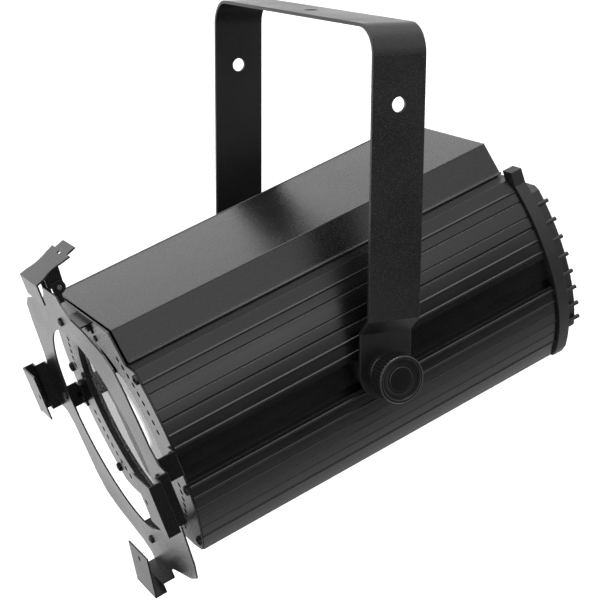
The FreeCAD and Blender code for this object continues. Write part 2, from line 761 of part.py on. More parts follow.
def make_latch():
    """Rocking latch: waisted leaf with a finger tab behind, a hook in front, and two ears."""
    slope = "latch_slope"
    nose_y = "latch_axis_y - latch_nose"
    nose_z = "latch_axis_z + 10.5"
    leaf_body = doc.addObject("PartDesign::Body", "latch_leaf")
    sketch = new_sketch(leaf_body, "leaf_outline", "XY_Plane")
    half = "latch_half"
    draw_loop(sketch, [
        (half, "0"),
        (f"{half} - 1", "8"),
        ("arc", (f"{half} - 4.5", "19"), (f"{half} - 2", "30")),
        (half, "38.5"),
        (f"{half} - 8", "38.5"),
        (f"{half} - 8", "48"),
        (f"8 - {half}", "48"),
        (f"8 - {half}", "38.5"),
        (f"-{half}", "38.5"),
        (f"2 - {half}", "30"),
        ("arc", (f"4.5 - {half}", "19"), (f"1 - {half}", "8")),
        (f"-{half}", "0"),
    ])
    draw_loop(sketch, [("3", "35"), ("3", "37.5"), ("-3", "37.5"), ("-3", "35")])
    pad = leaf_body.newObject("PartDesign::Pad", "leaf_pad")
    pad.Profile = sketch
    set_size(pad, "Length", "sheet")
    leaf_body.Placement = FreeCAD.Placement(
        FreeCAD.Vector(0, value_of(nose_y), value_of(nose_z)),
        FreeCAD.Rotation(AXES["X"], value_of(slope)))
    hook = box((f"-{half}", nose_y, "latch_axis_z - 7.5"),
               (half, f"{nose_y} + sheet", f"{nose_z} + 0.5"), "Hook")
    pieces = [leaf_body, hook]

    def leaf_at(offset):
        """Height of the middle of the leaf's thickness at an offset from the pivot."""
        return f"{nose_z} + sheet / 2 + ({offset} + latch_nose) * tan({slope})"

    ear_outline = [
        ("latch_axis_y - 9", leaf_at(-9)),
        ("latch_axis_y - 9", "latch_axis_z + 3"),
        ("latch_axis_y - 5.5", "latch_axis_z"),
        ("arc", ("latch_axis_y", "latch_axis_z - 5.5"), ("latch_axis_y + 5.5", "latch_axis_z")),
        ("latch_axis_y + 7", leaf_at(7)),
    ]
    for start in ("14.5", "-14.5 - sheet"):
        pieces.append(side_section("latch_ear", [ear_outline], [], start, "sheet"))
    joined = fuse(pieces, "latch_folded")
    pin_hole = rod("latch_pin_radius + running_gap", ("-30", "latch_axis_y", "latch_axis_z"),
                   "60", "X", "LatchBore")
    add_node("latch", cut(joined, [pin_hole], "latch_pierced"), "latch")
    pin = rod("latch_pin_radius", ("-20.5", "latch_axis_y", "latch_axis_z"), "41", "X",
              "latch_pin_rod")
    add_node("latch_pin", pin, "head")
    coils = []
    for number in range(8):
        coil = doc.addObject("Part::Torus", "Coil")
        set_size(coil, "Radius1", "latch_pin_radius + 1.1")
        set_size(coil, "Radius2", "0.6")
        set_place(coil, (f"1.3 * ({number} - 3.5)", "latch_axis_y", "latch_axis_z"),
                  FreeCAD.Rotation(AXES["Z"], AXES["X"]))
        coils.append(coil)
    add_node("latch_spring", group(coils, "latch_spring_coils"), "head")


# ---------------------------------------------------------------- rear end

def cap_x(height, inset="0"):
    """Half-width of the rear cap at a height, drawn in by inset."""
    return (f"(cap_bulge - cap_curve + sqrt((cap_curve - ({inset}))^2"
            f" - (({height}) - cap_middle)^2))")


def cap_outline(top, foot, inset):
    """The cap's bulging outline between two heights, drawn in by inset."""
    middle = f"(({top}) + ({foot})) / 2"
    right_top, right_foot = cap_x(top, inset), cap_x(foot, inset)
    side = cap_x(middle, inset)
    return [
        (f"{right_top} - 5", top),
        (right_top, f"{top} - 4"),
        ("arc", (side, middle), (right_foot, f"{foot} + 8")),
        (f"{right_foot} - 16", foot),
        (f"16 - {right_foot}", foot),
        (f"-{right_foot}", f"{foot} + 8"),
        ("arc", (f"-{side}", middle), (f"-{right_top}", f"{top} - 4")),
        (f"5 - {right_top}", top),
    ]


def make_bezel():
    """Moulded frame that follows the head's outline, with raised corners beside the cover."""
    out = "-bezel_margin"
    top = "97.5"
    low = "panel_foot + 6"
    half = [
        ("pan_flat_half", "pan_floor - 1"),
        ("97", "pan_floor + 1.5"),
        (bulge_x(low, out), low),
        bulge_arc(low, "84", out),
        ("114.5", top),
        ("100.5", top),
        ("100.5", "84"),
    ]
    left = [
        ("-100.5", "84"),
        ("-100.5", top),
        ("-114.5", top),
        (f"-({bulge_x('84', out)})", "84"),
        bulge_arc("84", low, out, "-1"),
        ("-97", "pan_floor + 1.5"),
        ("-pan_flat_half", "pan_floor - 1"),
    ]
    window = cap_outline("66", "-81", "cap_wall + 4")
    bezel = section("bezel_frame", [half + left, window], [],
                    "panel_rear + 0.1", "bezel_rear - panel_rear - 0.1")
    add_node("rear_bezel", bezel, "head")


def make_cap():
    """Hollow ribbed cap that closes the rear of the head."""
    start = "bezel_rear + 0.1"
    body = doc.addObject("PartDesign::Body", "rear_cap_body")
    sketch = new_sketch(body, "cap_profile", "XZ_Plane", f"-({start})")
    draw_loop(sketch, cap_outline("cap_top", "cap_foot", "0"))
    pad = body.newObject("PartDesign::Pad", "cap_pad")
    pad.Profile = sketch
    pad.Reversed = True
    set_size(pad, "Length", f"cap_rear - ({start})")
    doc.recompute()
    rear_face = max(range(len(pad.Shape.Faces)),
                    key=lambda number: pad.Shape.Faces[number].CenterOfMass.y)
    chamfer = body.newObject("PartDesign::Chamfer", "cap_edge")
    chamfer.Base = (pad, [f"Face{rear_face + 1}"])
    set_size(chamfer, "Size", "cap_chamfer")
    ribs = [rod("rib_radius", (f"{sign} * ({cap_x(height, '0.6')})", "cap_rear - 10", str(height)),
                "12", "Y", "Rib")
            for sign in (1, -1) for height in (54, 36, 18.5, 0.5, -17.5, -35, -53, -69)]
    joined = fuse([body] + ribs, "cap_ribbed")
    hollow = section("cap_hollow", [cap_outline("cap_top - cap_wall", "cap_foot + cap_wall",
                                                "cap_wall")],
                     [], "bezel_rear - 1", "cap_rear - bezel_rear - 3")
    spots = [(f"{sign} * ({cap_x(height)} - 14)", "cap_rear", str(height))
             for sign in (1, -1) for height in (52, -8, -66)]
    tools = [hollow,
             rod("spindle_radius + 1", ("0", "bezel_rear", "rod_z"), "30", "Y", "SpindleHole"),
             rod("8.1", ("55", "bezel_rear", "gland_z"), "30", "Y", "GlandHole")]
    tools += [rod("1.9", (x, "cap_rear - 6", z), "8", "Y", "CapScrewHole") for x, y, z in spots]
    add_node("rear_cap", cut(joined, tools, "cap_pierced"), "head")
    screws = [pan_head(place, "Y", 1, "4", "2.4", "1.8", "2.5") for place in spots]
    add_node("rear_cap_screws", group(screws, "cap_screw_set"), "head")


def make_gland():
    """Cable gland through the cap, with its nut outside."""
    gland_body = fuse([rod("8", ("55", "cap_rear - 6", "gland_z"), "18", "Y"),
                       rod("11", ("55", "cap_rear + 0.1", "gland_z"), "5", "Y")], "gland_outer")
    bore = rod("4.5", ("55", "cap_rear - 8", "gland_z"), "24", "Y")
    add_node("cable_gland", cut(gland_body, [bore], "gland_bored"), "head")
    nut = cut(rod("10.5", ("55", "cap_rear + 7", "gland_z"), "9", "Y"),
              [rod("8.05", ("55", "cap_rear + 6", "gland_z"), "11", "Y")], "gland_nut_bored")
    add_node("gland_nut", nut, "head")


# ---------------------------------------------------------------- pivots and clamp knobs

def make_pivot(side, sign):
    """Channel block, threaded stud, friction disc and washer on one side, plus its knob."""
    def span(low, high):
        """X limits of a piece between two distances from the middle."""
        return (low, high) if sign > 0 else (f"-({high})", f"-({low})")

    def disc(radius, low, high, name):
        start, end = span(low, high)
        return rod(radius, (start, "0", "0"), f"({end}) - ({start})", "X", name)

    tab_in = "tab_outer - strap_gauge"
    x0, x1 = span("channel_floor_x + 0.05", f"{tab_in} - 2.5")
    block = box((x0, "-19", "channel_step + 0.5"), (x1, "19", "channel_top - 0.5"), "Block")
    bore = rod("stud_radius + 0.02", ("-200", "0", "0"), "400", "X", "StudBore")
    add_node(f"pivot_block_{side}", cut(block, [bore], f"pivot_block_{side}_bored"), "head")
    washer = disc("disc_radius", f"{tab_in} - 2.4", f"{tab_in} - face_gap", "Disc")
    bore = rod("stud_radius + 0.02", ("-200", "0", "0"), "400", "X", "StudBore")
    add_node(f"friction_disc_{side}", cut(washer, [bore], f"friction_disc_{side}_bored"), "head")
    stud = disc("stud_radius", "channel_floor_x + 0.05", "knob_outer_face - 8", "StudRod")
    add_node(f"pivot_stud_{side}", stud, "head")
    outer = disc("disc_radius - 9", "tab_outer + face_gap", "tab_outer + 2.2", "OuterWasher")
    bore = rod("stud_radius + 0.02", ("-200", "0", "0"), "400", "X", "StudBore")
    add_node(f"clamp_washer_{side}", cut(outer, [bore], f"clamp_washer_{side}_bored"), "head")

    rim_start = "knob_outer_face - knob_rim_depth"
    hub = disc("knob_hub_radius", "tab_outer + 2.6", f"{rim_start} + 1", "Hub")
    rim = disc("knob_radius", rim_start, "knob_outer_face", "Rim")
    grip = fuse([hub, rim], f"knob_{side}_solid")
    recess = disc("knob_recess_radius", "knob_outer_face - knob_recess_depth",
                  "knob_outer_face + 1", "Recess")
    boss_bore = disc("8.02", "tab_outer + 2", "knob_outer_face - 7", "InsertSeat")
    add_node(f"clamp_knob_{side}", cut(grip, [recess, boss_bore], f"knob_{side}_turned"),
             f"knob_{side}")
    insert = disc("8", "tab_outer + 2.6", "knob_outer_face - 7.1", "Insert")
    thread = disc("stud_radius + running_gap", "tab_outer", "knob_outer_face - 7.5", "Thread")
    add_node(f"knob_insert_{side}", cut(insert, [thread], f"knob_{side}_insert_bored"),
             f"knob_{side}")


# ---------------------------------------------------------------- inside the head

def make_inner_frame():
    """Front and rear bulkheads, guide rods, bushes and a heat shield under the cover."""
    holes = [(("rod_x", "rod_z"), "rod_radius + 0.02"), (("-rod_x", "rod_z"), "rod_radius + 0.02"),
             (("0", "rod_z"), "7")]
    strip = [("60", "-94"), ("60", "-60"), ("-60", "-60"), ("-60", "-94")]
    front = section("front_bulkhead_body", [strip], holes, "rod_front", "3")
    add_node("front_bulkhead", front, "head")
    wall = mirror_steps([("86", "-90"), ("108", "-60"), ("112", "0"), ("100", "60"), ("82", "80")])
    rear_holes = holes + [(("55", "gland_z"), "8")]
    rear = section("rear_bulkhead_body", [wall], rear_holes, "rod_rear - 3", "3")
    add_node("rear_bulkhead", rear, "head")
    rods = [rod("rod_radius", (x, "rod_front", "rod_z"), "rod_rear - rod_front", "Y", "GuideRod")
            for x in ("rod_x", "-rod_x")]
    add_node("guide_rods", group(rods, "guide_rod_pair"), "head")
    bushes = []
    for start in ("rod_front", "rod_rear - 3"):
        sleeve = rod("6.98", ("0", start, "rod_z"), "3", "Y", "Bush")
        bushes.append(cut(sleeve, [rod("spindle_radius + running_gap",
                                       ("0", start + " - 1", "rod_z"), "5", "Y")], "BushBored"))
    add_node("spindle_bushes", group(bushes, "spindle_bush_pair"), "head")
    shield = mirror_steps([("78", "92"), ("66", "108")])
    inner = mirror_steps([("76", "90"), ("65", "107")])
    outer_piece = section("shield_outer", [shield], [], "-150", "310")
    inner_piece = section("shield_inner", [inner], [], "-151", "312")
    add_node("heat_shield", cut(outer_piece, [inner_piece], "shield_folded"), "head")
    terminal = box(("62", "158", "-50"), ("92", "rod_rear - 3", "-32"), "Terminal")
    add_node("terminal_block", terminal, "head")


def make_focus_drive():
    """Lead spindle turned by a knob behind the head."""
    spindle = fuse([
        rod("spindle_radius", ("0", "rod_front - 4", "rod_z"),
            "cap_rear + 16 - rod_front + 4", "Y", "SpindleRod"),
        rod("7.5", ("0", "rod_rear - 8", "rod_z"), "4.7", "Y", "ThrustCollar")], "spindle_whole")
    add_node("focus_spindle", spindle, "focus_drive")
    grip = cut(rod("focus_knob_radius", ("0", "cap_rear + 3", "rod_z"), "18", "Y", "FocusGrip"),
               [rod("spindle_radius + 0.01", ("0", "cap_rear + 2", "rod_z"), "14.2", "Y"),
                rod("1.55", ("0", "cap_rear + 12", "rod_z"), "20", "Z")],
               "focus_knob_bored")
    add_node("focus_knob", grip, "focus_drive")
    screw = rod("1.5", ("0", "cap_rear + 12", "rod_z + spindle_radius + 0.1"), "8", "Z",
                "FocusSetScrew")
    add_node("focus_knob_screw", screw, "focus_drive")


def make_carriage():
    """Sliding tray with its nut and bushes, the lampholder, the lamp and the reflector."""
    start = "carriage_front"
    length = "carriage_length"
    floor = "rod_z + 13"
    tray = box(("-60", start, floor), ("60", f"{start} + {length}", f"{floor} + 2"), "Tray")
    pieces = [tray]
    for low, high in (("-60", "-58"), ("58", "60")):
        pieces.append(box((low, start, floor), (high, f"{start} + {length}", f"{floor} + 14"),
                          "TrayFlange"))
    cheeks = []
    for offset in ("6", "carriage_length - 18"):
        cheeks.append(box(("-54", f"{start} + {offset}", "rod_z - 9"),
                          ("54", f"{start} + {offset} + 12", floor), "Saddle"))
    pieces += cheeks
    tray_joined = fuse(pieces, "tray_joined")
    tools = []
    for x in ("rod_x", "-rod_x"):
        tools.append(rod("rod_radius + running_gap", (x, f"{start} - 2", "rod_z"),
                         f"{length} + 4", "Y", "RodBore"))
    tools.append(rod("9.02", ("0", f"{start} - 2", "rod_z"), f"{length} + 4", "Y", "NutBore"))
    add_node("lamp_carriage", cut(tray_joined, tools, "tray_bored"), "carriage")
    nut = cut(rod("9", ("0", f"{start} + 6", "rod_z"), "12", "Y", "NutBody"),
              [rod("spindle_radius + running_gap", ("0", start, "rod_z"), "40", "Y")], "nut_bored")
    add_node("spindle_nut", nut, "carriage")

    base_low = f"{floor} + 2"
    ceramic = fuse([
        box(("-18", "lamp_y - 15", base_low), ("18", "lamp_y + 15", f"{base_low} + 12"), "Ceramic"),
        rod("12", ("0", "lamp_y", f"{base_low} + 12"), "8", "Z", "CeramicBoss")], "ceramic_block")
    add_node("lampholder", ceramic, "carriage")
    lamp_base = rod("11", ("0", "lamp_y", f"{base_low} + 20"), "13", "Z", "LampBase")
    add_node("lamp_base", lamp_base, "carriage")
    tube_low = f"{base_low} + 33"
    bulb = fuse([
        rod("lamp_radius - 1", ("0", "lamp_y", tube_low), "46", "Z", "BulbTube"),
        rod("4", ("0", "lamp_y", f"{tube_low} + 46"), "5", "Z", "BulbTip")], "bulb_whole")
    add_node("lamp_capsule", bulb, "carriage")

    reach = "reflector_radius"
    steps = [
        ("sqrt(reflector_radius^2 - 24^2)", "24"),
        ("arc", (f"{reach} * sin(40)", f"{reach} * cos(40)"), ("0.001", reach)),
        ("0.001", f"{reach} + 1.2"),
        ("arc", (f"({reach} + 1.2) * sin(40)", f"({reach} + 1.2) * cos(40)"),
         (f"sqrt(({reach} + 1.2)^2 - 24^2)", "24")),
    ]
    bowl = turned("reflector_bowl", steps, "Y")
    bowl.Placement = FreeCAD.Placement(
        FreeCAD.Vector(0, value_of("lamp_y"), value_of("lens_axis_z")), FreeCAD.Rotation())
    flat = box(("-100", "lamp_y", "-100"), ("100", "lamp_y + 100", "rod_z + 15.5"), "BowlTrim")
    add_node("reflector", cut(bowl, [flat], "reflector_trimmed"), "carriage")
    post = box(("-14", f"lamp_y + {reach} - 2 - 1", f"{floor} + 2"),
               ("14", f"lamp_y + {reach} - 1", "lens_axis_z - 30"), "Post")
    add_node("reflector_post", post, "carriage")


# ---------------------------------------------------------------- build

make_yoke()
make_top_cover()
make_side_panel("right", "1")
make_side_panel("left", "-1")
make_bottom_pan()
make_front_plate()
make_plate_screws()
make_lens()
make_accessory_holder()
make_standoffs()
make_latch()
make_bezel()
make_cap()
make_gland()
for side, sign in (("right", 1), ("left", -1)):
    make_pivot(side, sign)
make_inner_frame()
make_focus_drive()
make_carriage()
doc.recompute()

lower = FreeCAD.Placement(FreeCAD.Vector(0, 0, -value_of("yoke_rise")), FreeCAD.Rotation())
tilted = lower.multiply(FreeCAD.Placement(
    FreeCAD.Vector(), FreeCAD.Rotation(AXES["X"], value_of("tilt_degrees"))))
for name, (item, body) in nodes.items():
    frame = lower if body == "yoke" else tilted
    for path, text in list(item.ExpressionEngine):
        if path.startswith((".Placement", "Placement")):
            item.setExpression(path, None)
    item.Placement = frame.multiply(item.Placement)
doc.recompute()

failed = [item.Label for item in doc.Objects if "Invalid" in item.State or "Error" in item.State]
for name, (item, body) in nodes.items():
    if item.Shape.isNull() or not item.Shape.isValid():
        failed.append(name)
if failed:
    raise RuntimeError("these pieces failed: " + ", ".join(failed))

os.makedirs("parts", exist_ok=True)
for name, (item, body) in nodes.items():
    item.Shape.exportStep(f"parts/{name}.step")
print(len(nodes), "nodes written")
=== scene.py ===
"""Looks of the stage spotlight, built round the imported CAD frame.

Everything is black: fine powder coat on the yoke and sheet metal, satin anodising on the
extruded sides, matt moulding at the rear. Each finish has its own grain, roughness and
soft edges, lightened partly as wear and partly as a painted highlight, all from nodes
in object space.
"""
import bpy
import bmesh
import math
from mathutils import Matrix, Vector


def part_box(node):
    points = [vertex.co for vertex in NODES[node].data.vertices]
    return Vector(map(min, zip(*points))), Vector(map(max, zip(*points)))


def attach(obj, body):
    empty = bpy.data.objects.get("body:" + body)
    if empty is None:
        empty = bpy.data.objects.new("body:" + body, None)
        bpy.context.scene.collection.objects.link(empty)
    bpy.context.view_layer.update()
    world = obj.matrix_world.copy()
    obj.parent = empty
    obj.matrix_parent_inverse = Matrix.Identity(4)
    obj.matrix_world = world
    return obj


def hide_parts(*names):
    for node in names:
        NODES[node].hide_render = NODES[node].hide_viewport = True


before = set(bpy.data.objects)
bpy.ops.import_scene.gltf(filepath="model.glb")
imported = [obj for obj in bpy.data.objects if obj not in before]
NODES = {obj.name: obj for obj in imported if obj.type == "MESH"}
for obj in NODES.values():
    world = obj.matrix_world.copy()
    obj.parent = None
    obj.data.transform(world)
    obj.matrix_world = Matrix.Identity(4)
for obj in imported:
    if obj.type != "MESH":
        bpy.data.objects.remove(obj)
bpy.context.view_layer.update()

# The head at rest: nose down by TILT about the axis of the two clamp studs.
TILT = math.radians(20.25)
TILT_AXIS_Z = -0.299
ACROSS = Vector((1, 0, 0))
REARWARD = Vector((0, math.cos(TILT), math.sin(TILT)))
HEAD_UP = ACROSS.cross(REARWARD)

# The photograph's camera, in degrees, millimetres of lens and metres.
AZIMUTH, ELEVATION, ROLL = 63.55, 14.66, 0.37
LENS_MM = 95.82
CAMERA_PLACE = (1.30394, -0.65811, 0.11139)

FLOOR_HALF_SIDE = 60.0
FLOOR_Z = -1.15
FLOOR_WHITE = 0.93


# ---------------------------------------------------------------- camera
def make_camera():
    """The camera, turned from its angles: azimuth 0 looks along +Y and 90 along -X."""
    azimuth, elevation, roll = (math.radians(v) for v in (AZIMUTH, ELEVATION, ROLL))
    back = Vector((math.sin(azimuth) * math.cos(elevation),
                   -math.cos(azimuth) * math.cos(elevation),
                   math.sin(elevation)))
    level_right = Vector((math.cos(azimuth), math.sin(azimuth), 0))
    level_up = back.cross(level_right)
    right = level_right * math.cos(roll) + level_up * math.sin(roll)
    up = level_up * math.cos(roll) - level_right * math.sin(roll)
    data = bpy.data.cameras.new("camera")
    data.sensor_width = 36
    data.lens = LENS_MM
    data.clip_start = 0.05
    data.clip_end = 200
    camera = bpy.data.objects.new("camera", data)
    turn = Matrix((right, up, back)).transposed().to_4x4()
    camera.matrix_world = Matrix.Translation(CAMERA_PLACE) @ turn
    bpy.context.scene.collection.objects.link(camera)
    bpy.context.scene.camera = camera


# ---------------------------------------------------------------- node helpers
class Nodes:
    """A node tree written as a short list of calls."""

    def __init__(self, tree):
        self.tree = tree

    def add(self, kind, **settings):
        node = self.tree.nodes.new(kind)
        inputs = settings.pop("inputs", {})
        for key, value in settings.items():
            setattr(node, key, value)
        for key, value in inputs.items():
            self.put(node, key, value)
        return node

    def put(self, node, key, value):
        if isinstance(value, bpy.types.NodeSocket):
            self.tree.links.new(value, node.inputs[key])
        else:
            node.inputs[key].default_value = value

    def math(self, operation, *values):
        node = self.add("ShaderNodeMath", operation=operation)
        for index, value in enumerate(values):
            self.put(node, index, value)
        return node.outputs[0]

    def ramp(self, value, low, high, out_low, out_high):
        node = self.add("ShaderNodeMapRange", clamp=True)
        for key, item in zip(("Value", "From Min", "From Max", "To Min", "To Max"),
                             (value, low, high, out_low, out_high)):
            self.put(node, key, item)
        return node.outputs[0]

    def noise(self, place, scale, detail=3.0, roughness=0.55):
        return self.add("ShaderNodeTexNoise", inputs={
            "Vector": place, "Scale": scale, "Detail": detail,
            "Roughness": roughness}).outputs[0]

    def mix(self, factor, first, second):
        node = self.add("ShaderNodeMix", data_type="RGBA")
        self.put(node, 0, factor)
        self.put(node, 6, first)
        self.put(node, 7, second)
        return node.outputs[2]


def grey(level):
    return (level, level, level, 1)


def finish(name, dark, light, rough, grain=(0, 0), drawn=(0, 0), edge=0.0006, speck=0.0,
           wear_highlight_grey=0.05, wear_highlight_share=0.35, metallic=0.0, blotch=14.0):
    """One procedural material: blotched colour and roughness, fine grain, rounded edges lightened
    as wear and as a painted highlight.

    dark, light, speck and wear_highlight_grey are grey levels, and rough is the range of roughness.
    grain is (cells per metre, height in metres) of the coat's texture; drawn is the same
    for lines that run along the head, as drawing and extruding leave. edge is the radius
    of the soft edges, which are lightened partly as wear and partly as a painted highlight;
    wear_highlight_share is how far their colour goes towards wear_highlight_grey.
    """
    material = bpy.data.materials.new("look_" + name)
    material.use_nodes = True
    nodes = Nodes(material.node_tree)
    shader = material.node_tree.nodes["Principled BSDF"]
    place = nodes.add("ShaderNodeTexCoord").outputs["Object"]
    blotches = nodes.noise(place, blotch, 4.0)
    patch = nodes.ramp(blotches, 0.35, 0.65, 0.0, 1.0)
    colour = nodes.mix(patch, grey(dark), grey(light))
    roughness = nodes.ramp(blotches, 0.3, 0.7, rough[0], rough[1])
    heights = []
    if grain[0]:
        specks = nodes.noise(place, grain[0], 2.0, 0.6)
        heights.append((specks, grain[1]))
        roughness = nodes.math("ADD", roughness,
                               nodes.ramp(specks, 0.3, 0.7, -0.03, 0.05))
        if speck:
            colour = nodes.mix(nodes.ramp(specks, 0.52, 0.72, 0.0, 0.8), colour, grey(speck))
    if drawn[0]:
        lines = nodes.add("ShaderNodeMapping", inputs={
            "Vector": place, "Rotation": (-TILT, 0, 0)}).outputs[0]
        lines = nodes.add("ShaderNodeMapping", inputs={
            "Vector": lines, "Scale": (1, 0.006, 1)}).outputs[0]
        streaks = nodes.noise(lines, drawn[0], 3.0, 0.7)
        heights.append((streaks, drawn[1]))
        colour = nodes.mix(nodes.ramp(streaks, 0.4, 0.75, 0.0, 0.3), colour, grey(light * 1.5))
        roughness = nodes.math("ADD", roughness,
                               nodes.ramp(streaks, 0.3, 0.7, -0.02, 0.03))
    true_normal = nodes.add("ShaderNodeNewGeometry").outputs["Normal"]
    rounded = nodes.add("ShaderNodeBevel", samples=4, inputs={"Radius": edge}).outputs[0]
    away = nodes.add("ShaderNodeVectorMath", operation="DOT_PRODUCT",
                     inputs={0: rounded, 1: true_normal}).outputs["Value"]
    # Edge lightening: partly wear, partly a painted highlight along the soft edges, broken into
    # patches.
    edge_patches = nodes.noise(place, 90.0, 4.0, 0.7)
    edge_highlight_and_wear = nodes.math("MULTIPLY", nodes.ramp(away, 0.985, 0.86, 0.0, wear_highlight_share),
                        nodes.ramp(edge_patches, 0.42, 0.62, 0.2, 1.0))
    colour = nodes.mix(edge_highlight_and_wear, colour, grey(wear_highlight_grey))
    normal = rounded
    for height, depth in heights:
        normal = nodes.add("ShaderNodeBump", inputs={
            "Height": height, "Distance": depth, "Strength": 1.0,
            "Normal": normal}).outputs[0]
    nodes.put(shader, "Base Color", colour)
    nodes.put(shader, "Roughness", roughness)
    nodes.put(shader, "Normal", normal)
    shader.inputs["Metallic"].default_value = metallic
    return material


def glass(name, tint, rough, smear, ior):
    """Clear glass with faint smears in its roughness and a slight waviness."""
    material = bpy.data.materials.new("look_" + name)
    material.use_nodes = True
    nodes = Nodes(material.node_tree)
    shader = material.node_tree.nodes["Principled BSDF"]
    place = nodes.add("ShaderNodeTexCoord").outputs["Object"]
    cloud = nodes.noise(place, 22.0, 5.0, 0.6)
    nodes.put(shader, "Roughness", nodes.ramp(cloud, 0.45, 0.7, rough, smear))
    nodes.put(shader, "Base Color", nodes.mix(cloud, tint, (0.97, 0.97, 0.97, 1)))
    wave = nodes.add("ShaderNodeBump", inputs={
        "Height": nodes.noise(place, 60.0, 1.0), "Distance": 0.00004,
        "Strength": 1.0}).outputs[0]
    nodes.put(shader, "Normal", wave)
    shader.inputs["Transmission Weight"].default_value = 1.0
    shader.inputs["IOR"].default_value = ior
    return material


FINISHES = {
    "yoke_coat": finish("yoke_coat", 0.0022, 0.0042, (0.36, 0.46), grain=(760, 0.00018),
                        edge=0.0010, speck=0.014, wear_highlight_grey=0.035),
    "housing_coat": finish("housing_coat", 0.003, 0.005, (0.21, 0.28),
                           grain=(800, 0.0001), edge=0.0012, speck=0.018, wear_highlight_grey=0.05),
    "extrusion": finish("extrusion", 0.0015, 0.003, (0.20, 0.28), grain=(2500, 0.00001),
                        drawn=(420, 0.00001), edge=0.0005, wear_highlight_grey=0.06),
    "holder_coat": finish("holder_coat", 0.003, 0.005, (0.24, 0.31),
                          grain=(900, 0.00004), wear_highlight_grey=0.05),
    "black_screws": finish("black_screws", 0.003, 0.006, (0.28, 0.40),
                           grain=(2500, 0.00002), edge=0.0003, wear_highlight_grey=0.12),
    "steel": finish("steel", 0.42, 0.56, (0.22, 0.36), grain=(2200, 0.00001),
                    edge=0.0003, wear_highlight_grey=0.75, metallic=1.0),
    "bare_steel": finish("bare_steel", 0.36, 0.52, (0.32, 0.48), grain=(300, 0.00002),
                         wear_highlight_grey=0.7, metallic=1.0, blotch=60.0),
    "bare_aluminium": finish("bare_aluminium", 0.50, 0.62, (0.28, 0.42),
                             drawn=(1200, 0.00002), wear_highlight_grey=0.8, metallic=1.0),
    "mirror_aluminium": finish("mirror_aluminium", 0.82, 0.88, (0.06, 0.12),
                               grain=(500, 0.00001), wear_highlight_grey=0.9, metallic=1.0),
    "brass": finish("brass", 0.5, 0.6, (0.22, 0.34), grain=(2000, 0.00001), edge=0.0003,
                    wear_highlight_grey=0.7, metallic=1.0),
    "friction_pad": finish("friction_pad", 0.02, 0.035, (0.75, 0.9), grain=(1500, 0.00012),
                           wear_highlight_grey=0.05),
    "ceramic": finish("ceramic", 0.74, 0.84, (0.45, 0.6), grain=(1200, 0.00003),
                      wear_highlight_grey=0.7, wear_highlight_share=0.2),
    "moulding": finish("moulding", 0.005, 0.008, (0.42, 0.52), grain=(1500, 0.00005),
                       wear_highlight_grey=0.03),
    "knob_plastic": finish("knob_plastic", 0.0055, 0.0085, (0.15, 0.24),
                           grain=(1200, 0.00001), edge=0.0001, wear_highlight_grey=0.03),
    "lens_glass": glass("lens_glass", (0.93, 0.97, 0.96, 1), 0.01, 0.05, 1.52),
    "lamp_glass": glass("lamp_glass", (0.98, 0.98, 0.98, 1), 0.005, 0.03, 1.46),
}


# ---------------------------------------------------------------- turned pieces
def ring_solid(profile, segments, shape=None):
    """Closed solid of revolution about Z. profile runs from the axis round to the axis.

    shape(index, angle, radius, height) may return a new (radius, height) for a point.
    """
    points, faces, rings = [], [], []
    for index, (radius, height) in enumerate(profile):
        if radius == 0:
            rings.append([len(points)])
            points.append((0, 0, height))
            continue
        ring = []
        for step in range(segments):
            angle = 2 * math.pi * step / segments
            r, z = shape(index, angle, radius, height) if shape else (radius, height)
            ring.append(len(points))
            points.append((r * math.cos(angle), r * math.sin(angle), z))
        rings.append(ring)
    for first, second in zip(rings, rings[1:]):
        for step in range(segments):
            after = (step + 1) % segments
            corners = [first[step % len(first)], second[step % len(second)],
                       second[after % len(second)], first[after % len(first)]]
            face = list(dict.fromkeys(corners))
            if len(face) > 2:
                faces.append(face)
    return points, faces


def placed(solid, centre, outward, roll=0.0):
    """The solid's points moved so that its Z axis points outward from centre."""
    points, faces = solid
    turn = outward.to_track_quat("Z", "Y").to_matrix() @ Matrix.Rotation(roll, 3, "Z")
    return [centre + turn @ Vector(p) for p in points], faces


def new_piece(name, solids, body, slot, *stands_for, material=None, smooth=35):
    """One mesh object made of solids, riding on a CAD body in place of CAD nodes."""
    points, faces = [], []
    for solid_points, solid_faces in solids:
        base = len(points)
        points += [tuple(p) for p in solid_points]
        faces += [[base + i for i in face] for face in solid_faces]
    mesh = bpy.data.meshes.new(name)
    mesh.from_pydata(points, [], faces)
    shaping = bmesh.new()
    shaping.from_mesh(mesh)
    bmesh.ops.recalc_face_normals(shaping, faces=shaping.faces)
    shaping.to_mesh(mesh)
    shaping.free()
    mesh.shade_smooth()
    mesh.set_sharp_from_angle(angle=math.radians(smooth))
    mesh.materials.append(material or FINISHES[slot])
    piece = bpy.data.objects.new(name, mesh)
    bpy.context.scene.collection.objects.link(piece)
    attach(piece, body)
    if stands_for:
        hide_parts(*stands_for)
    return piece


def islands(node):
    """The separate solids of a CAD node, each as a list of points."""
    shaping = bmesh.new()
    shaping.from_mesh(NODES[node].data)
    bmesh.ops.remove_doubles(shaping, verts=shaping.verts, dist=1e-6)
    reached = set()
    found = []
    for seed in shaping.verts:
        if seed in reached:
            continue
        reached.add(seed)
        stack, group = [seed], []
        while stack:
            vert = stack.pop()
            group.append(vert.co.copy())
            for edge in vert.link_edges:
                other = edge.other_vert(vert)
                if other not in reached:
                    reached.add(other)
                    stack.append(other)
        found.append(group)
    shaping.free()
    return sorted(found, key=lambda g: (round(min(p.x for p in g), 4),
                                        round(min(p.z for p in g), 4)))


def smoothstep(low, high, value):
    t = min(1.0, max(0.0, (value - low) / (high - low)))
    return t * t * (3 - 2 * t)


